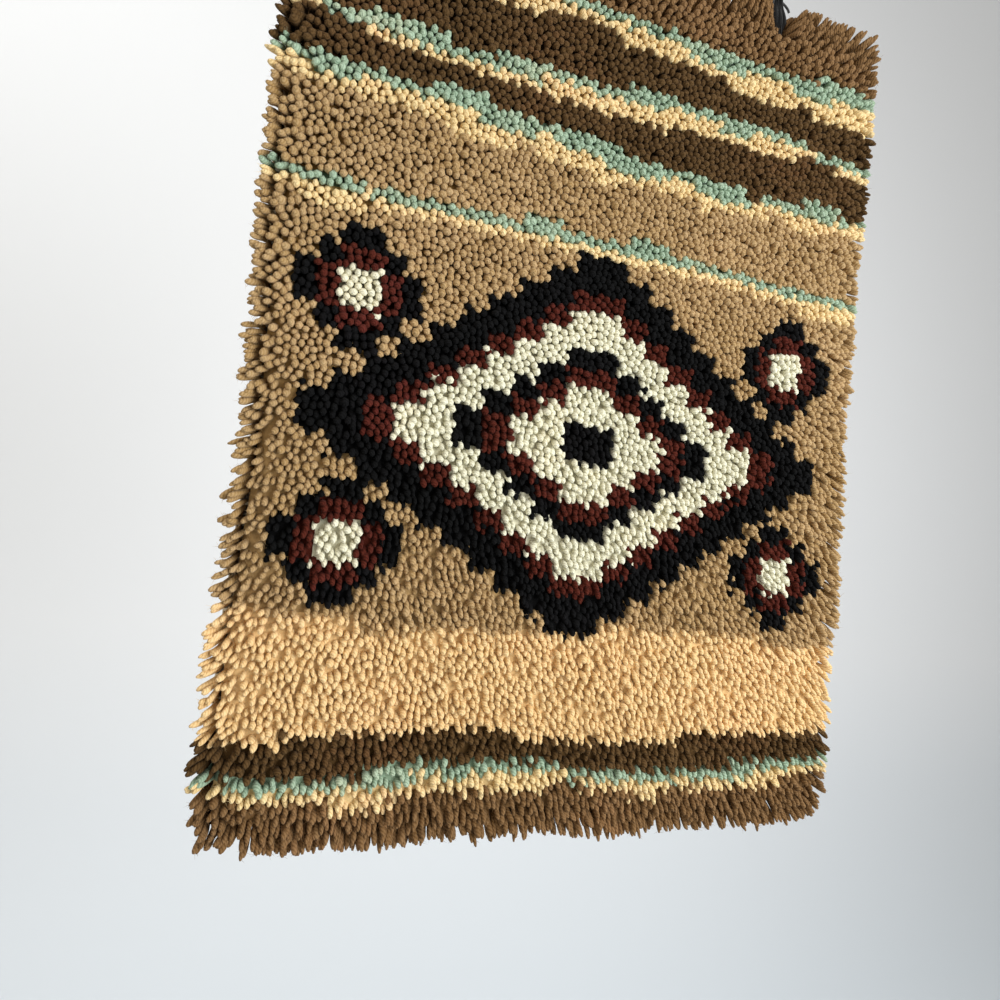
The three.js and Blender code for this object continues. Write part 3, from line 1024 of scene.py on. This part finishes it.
def modelKnotBack():
    # A block narrowed to a strand's crown, and its twin beside it
    knot = addShape(bpy.ops.mesh.primitive_cube_add, size=1)
    for face in knot.data.polygons:
        face.select = face.normal.z > 0.5
    bpy.ops.object.mode_set(mode="EDIT")
    bpy.ops.transform.resize(value=(knotBack["top"], knotBack["endTaper"], 1), center_override=(0, 0, 0))
    bpy.ops.mesh.select_all(action="SELECT")
    bpy.ops.transform.resize(value=(0.96, 2, 1), center_override=(0, 0, 0))
    bpy.ops.transform.translate(value=(-0.5, 0, 0.2))
    bpy.ops.mesh.duplicate_move(TRANSFORM_OT_translate={"value": (1, 0, 0)})
    bpy.ops.object.mode_set(mode="OBJECT")
    points, faces = takeShape(knot)
    shares = [(points[v, 0] * 0.5 + 0.5, points[v, 1] * 0.5 + 0.5) for face in faces for v in face]
    return {"points": points, "faces": faces, "uv": np.array(shares)}


def knotBackFinish():
    finish = Finish("knotBackYarn", Roughness=0.92, Specular_IOR_Level=0.2, Sheen_Weight=0.2)
    across, up, _ = splitVector(finish, finish.node("ShaderNodeUVMap", {"uv_map": "tuft"}))
    tone = splitVector(finish, meshVector(finish, "tone", 1))[0]
    twist = pingPong(finish, across * 4 + up * 3)
    # Painted shade: each strand is darker in the grooves of its twist; the tone by chance is the yarn's own
    shade = 0.55 + tone * 0.3 + twist * 0.25
    colour = shaded(finish, meshVector(finish, "yarnColourAndShade", 0), shade)
    return finish.feed(Base_Color=colour, Normal=bumps(finish, 0.6, 0.4 * mm, twist))


def addKnotBacks():
    chance = np.random.default_rng(pile["seed"] + 1)
    template = modelKnotBack()
    columns, rows = np.meshgrid(np.arange(rug["columns"]), np.arange(rug["rows"]))
    columns, rows = columns.ravel(), rows.ravel()
    across = (columns + 0.5) * pitchAcross - rug["width"] / 2
    down = rug["height"] - (rows + 0.5) * pitchUp
    middle = onRug(across, down, -rug["canvasThick"])
    points = template["points"]
    scale = 1 + chance.normal(0, 0.06, (len(across), 1))
    lean = chance.normal(0, 0.12, (len(across), 1))
    x = points[None, :, 0] * knotBack["half"] * scale + points[None, :, 1] * lean * knotBack["tall"]
    z = points[None, :, 1] * knotBack["tall"] * scale
    y = points[None, :, 2] * knotBack["proud"] * scale
    places = middle[:, None, :] + np.stack([x, y, z], axis=-1)
    colours = np.array([yarns[yarnAt(c, r)]["light"] for c, r in zip(columns, rows)])
    tones = chance.random((len(across), 3))
    piece = joinCopies("knotBacks", template, places, tones, colours)
    print("knot backs:", len(across), "of", trianglesOf(template), "triangles")
    return finishPiece(piece, "knotBacks", knotBackFinish(), ["pile"])


knotBacks = addKnotBacks()

# The clips
jaw = {"bevel": 0.18 * mm, "dark": (0.0015, 0.0015, 0.0018), "worn": (0.005, 0.005, 0.0055)}
ribs = [(1, 1.2), (0.78, 2.1), (0.56, 2.3), (0.4, 1.9), (0.31, 0.9), (0.2, 1.9)]
jawSection = [(-1, 0), (1, 0), *ribs, (0, 2.4), *[(-across, thick) for across, thick in reversed(ribs)]]


def plasticFinish():
    finish = Finish("clipPlastic", Roughness=0.3, Specular_IOR_Level=0.2)
    wear = noise(finish, 160.0, 4.0)
    normal = bumps(finish, 0.15, 0.1 * mm, noise(finish, 900.0, 2.0))
    colour = mixColour(finish, wear, jaw["dark"], jaw["worn"])
    return finish.feed(Base_Color=colour, Roughness=0.12 + wear * 0.14, Normal=normal)


def wireFinish():
    finish = Finish("clipWire", Metallic=0.0, Specular_IOR_Level=0.6)
    wear = noise(finish, 260.0, 5.0)
    colour = finish.node("ShaderNodeValToRGB", {"stops": wire["lacquer"]}, [wear])
    normal = bumps(finish, 0.2, 0.1 * mm, wear)
    return finish.feed(Base_Color=colour, Roughness=0.25 + wear * 0.3, Normal=normal)


def modelJaw(sections, facing, clipX, name, node, material):
    # A ribbed section drawn up through the table's rows
    outline = {"vertices": len(jawSection), "radius": 1, "fill_type": "NGON"}
    piece = addShape(bpy.ops.mesh.primitive_circle_add, **outline)
    first = sections[0]
    for vertex, (across, thick) in zip(piece.data.vertices, jawSection):
        x = clipX + facing * across * first["half"] * mm
        y = rug["canvasFront"] - (first["out"] + facing * thick) * mm
        vertex.co = (x, y, rug["canvasTop"] + first["up"] * mm)
    editAll()
    for low, high in zip(sections, sections[1:]):
        step = (0, -(high["out"] - low["out"]) * mm, (high["up"] - low["up"]) * mm)
        bpy.ops.mesh.extrude_region_move(TRANSFORM_OT_translate={"value": step})
        ratio = high["half"] / low["half"]
        bpy.ops.transform.resize(value=(ratio, 1, 1), center_override=(clipX, 0, 0))
    closeEdit()
    sharp = math.radians(50)
    applyModifier(piece, "BEVEL", width=jaw["bevel"], segments=2, limit_method="ANGLE", angle_limit=sharp)
    applyModifier(piece, "SUBSURF", levels=1, render_levels=1)
    smoothEdges(piece, 50)
    return finishPiece(piece, name, material, [node])


def tubeAlong(points, radius, name, material, node, sides):
    # A round wire with closed ends along the points
    curve = bpy.data.curves.new(name, "CURVE")
    curve.dimensions = "3D"
    curve.bevel_depth = radius
    curve.bevel_resolution = sides
    curve.use_fill_caps = True
    spline = curve.splines.new("POLY")
    spline.points.add(len(points) - 1)
    setAll(spline.points, "co", np.column_stack([points, np.ones(len(points))]))
    piece = bpy.data.objects.new(name, curve)
    bpy.context.scene.collection.objects.link(piece)
    makeOnly(piece)
    bpy.ops.object.convert(target="MESH")
    piece = bpy.context.active_object
    editAll()
    bpy.ops.mesh.remove_doubles(threshold=0.01 * mm)
    closeEdit()
    smoothEdges(piece, 50)
    return finishPiece(piece, name, material, [node])


spring = {"radius": 2.6 * mm, "wire": 0.72 * mm, "length": 9 * mm, "up": 20 * mm, "turns": 5.5, "steps": 24}


def springPoints(clipX):
    steps = int(spring["turns"] * spring["steps"])
    t = np.linspace(0, 1, steps + 1)
    turn = 2 * np.pi * spring["turns"] * t
    r = spring["radius"] - spring["wire"]
    half = spring["length"] / 2 - spring["wire"]
    x = clipX + half * (2 * t - 1)
    return np.stack([x, r * np.cos(turn), rug["canvasTop"] + spring["up"] + r * np.sin(turn)], axis=1)


# The wire's bowed free end and its stem, in mm, then the round eye
wireStart = table(
    "across up back",
    (14.8, 16.8, -0.6),
    (13.4, 19.6, -0.4),
    (10.4, 22.2, -0.2),
    (6.4, 24.1, 0),
    (2.6, 24.7, 0),
    (0.3, 27, 0),
    (0, 31, 0),
)
eye = {"radius": 7.5, "up": 44, "turn": 325, "points": 14, "blend": 3, "stepBack": 1.2}
wire = {
    "radius": 1.1 * mm,
    "steps": 8,
    "lacquer": [(0.0, (0.010, 0.010, 0.011)), (0.72, (0.020, 0.020, 0.021)), (0.8, (0.10, 0.10, 0.10))],
}


def wirePoints(clipX):
    points = [(row["across"], row["back"], row["up"]) for row in wireStart]
    for i in range(1, eye["points"] + 1):
        turn = math.radians(eye["turn"] * i / eye["points"])
        leaving = min(1, i / eye["blend"])
        closing = max(0, 1 - (eye["points"] - i) / eye["blend"])
        across = eye["radius"] * math.sin(turn) * leaving
        points.append((across, eye["stepBack"] * closing, eye["up"] - eye["radius"] * math.cos(turn)))
    points = np.array(points) * mm + np.array([clipX, 0, rug["canvasTop"]])
    return smoothPath(points, wire["steps"])


def between(first, second, start, stop, t):
    return ((stop - t) * first + (t - start) * second) / (stop - start)


def smoothPath(points, steps):
    # A centripetal Catmull-Rom curve through the points, as the solid's wire follows
    padded = np.vstack([2 * points[0] - points[1], points, 2 * points[-1] - points[-2]])
    path = []
    for k in range(len(points) - 1):
        p = padded[k:k + 4]
        knots = np.concatenate([[0], np.cumsum(np.linalg.norm(np.diff(p, axis=0), axis=1) ** 0.5)])
        for t in np.linspace(knots[1], knots[2], steps, endpoint=False):
            a = [between(p[i], p[i + 1], knots[i], knots[i + 1], t) for i in range(3)]
            b = [between(a[i], a[i + 1], knots[i], knots[i + 2], t) for i in range(2)]
            path.append(between(b[0], b[1], knots[1], knots[2], t))
    path.append(points[-1])
    return np.array(path)


def addClips():
    plastic, lacquer = plasticFinish(), wireFinish()
    for side, clipX in (("left", -clipOffset), ("right", clipOffset)):
        modelJaw(frontJaw, 1, clipX, side + "FrontJaw", side + "_clip_front_jaw", plastic)
        modelJaw(backJaw, -1, clipX, side + "BackJaw", side + "_clip_back_jaw", plastic)
        tubeAlong(springPoints(clipX), spring["wire"], side + "Spring", lacquer, side + "_clip_spring", 2)
        tubeAlong(wirePoints(clipX), wire["radius"], side + "Wire", lacquer, side + "_clip_wire", 3)


addClips()
print("clips made")

pilePieces + [knotBacks]

# A pale wall and floor, well behind and below the rug, darker and bluer towards and on the floor as painted
# shade, and soft studio light
studio = {
    "wall": 1.35,
    "floor": -1.9,
    "sweep": 0.7,
    "steps": 16,
    "width": 14.0,
    "front": -6.0,
    "top": 5.0,
    "colour": (0.845, 0.85, 0.86),
    "shadedLowColour": (0.69, 0.735, 0.775),
    "lowFrom": -0.8,
    "lowTo": -1.7,
    "air": (1.0, 0.985, 0.95, 1),
    "airStrength": 0.45,
}
lights = table(
    "name place aim size watts colour",
    ("key", (1.05, -1.2, -0.4), (0, 0, -0.45), 1.3, 38, (0.97, 0.99, 1)),
    ("fill", (-1.7, -1.8, -0.3), (0, 0, -0.45), 1.6, 9, (1, 0.87, 0.70)),
    ("wallWash", (-1.6, -0.3, 1.5), (-0.9, 1.35, -0.4), 2.0, 30, (1, 0.995, 0.97)),
)


def addStudio():
    # The profile from the front of the floor, round the sweep and up the wall, drawn out sideways
    r, wall, floor = studio["sweep"], studio["wall"], studio["floor"]
    turns = [math.pi / 2 * k / studio["steps"] for k in range(studio["steps"] + 1)]
    profile = [(studio["front"], floor)]
    profile += [(wall - r + r * math.sin(t), floor + r - r * math.cos(t)) for t in turns]
    profile += [(wall, studio["top"])]
    half = studio["width"] / 2
    mesh = bpy.data.meshes.new("studioSweep")
    points = [(x, y, z) for y, z in profile for x in (-half, half)]
    faces = [(2 * k, 2 * k + 1, 2 * k + 3, 2 * k + 2) for k in range(len(profile) - 1)]
    mesh.from_pydata(points, [], faces)
    sweep = addShape(bpy.ops.mesh.primitive_plane_add, size=1)
    sweep.data = mesh
    sweep.name = "studioSweep"
    makeOnly(sweep)
    bpy.ops.object.shade_smooth()
    finish = Finish("studioPaint", Roughness=0.95, Specular_IOR_Level=0.1)
    height = splitVector(finish, finish.node("ShaderNodeTexCoord", output=3))[2]
    # Painted shade: the backdrop turns darker and bluer from lowFrom down to lowTo and stays so on the floor
    low = finish.node("ShaderNodeMapRange", {}, [height, studio["lowFrom"], studio["lowTo"], 0.0, 1.0])
    tint = mixColour(finish, low, studio["colour"], studio["shadedLowColour"])
    mesh.materials.append(finish.feed(Base_Color=tint))
    sweep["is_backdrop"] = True


def addLights():
    for light in lights:
        data = bpy.data.lights.new(light["name"], "AREA")
        data.shape = "DISK"
        data.size = light["size"]
        data.energy = light["watts"]
        data.color = light["colour"]
        lamp = bpy.data.objects.new(light["name"], data)
        bpy.context.scene.collection.objects.link(lamp)
        aim = Vector(light["aim"]) - Vector(light["place"])
        turn = aim.to_track_quat("-Z", "Y").to_matrix().to_4x4()
        lamp.matrix_world = Matrix.Translation(light["place"]) @ turn
    world = bpy.data.worlds.new("studioAir")
    world.use_nodes = True
    background = world.node_tree.nodes["Background"].inputs
    background["Color"].default_value = studio["air"]
    background["Strength"].default_value = studio["airStrength"]
    bpy.context.scene.world = world
    bpy.context.scene.view_settings.view_transform = "Standard"


addStudio()
addLights()
print("studio set")

counts = {piece.name: sum(len(face.vertices) - 2 for face in piece.data.polygons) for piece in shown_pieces()}
print("triangles:", counts, "in all", sum(counts.values()))
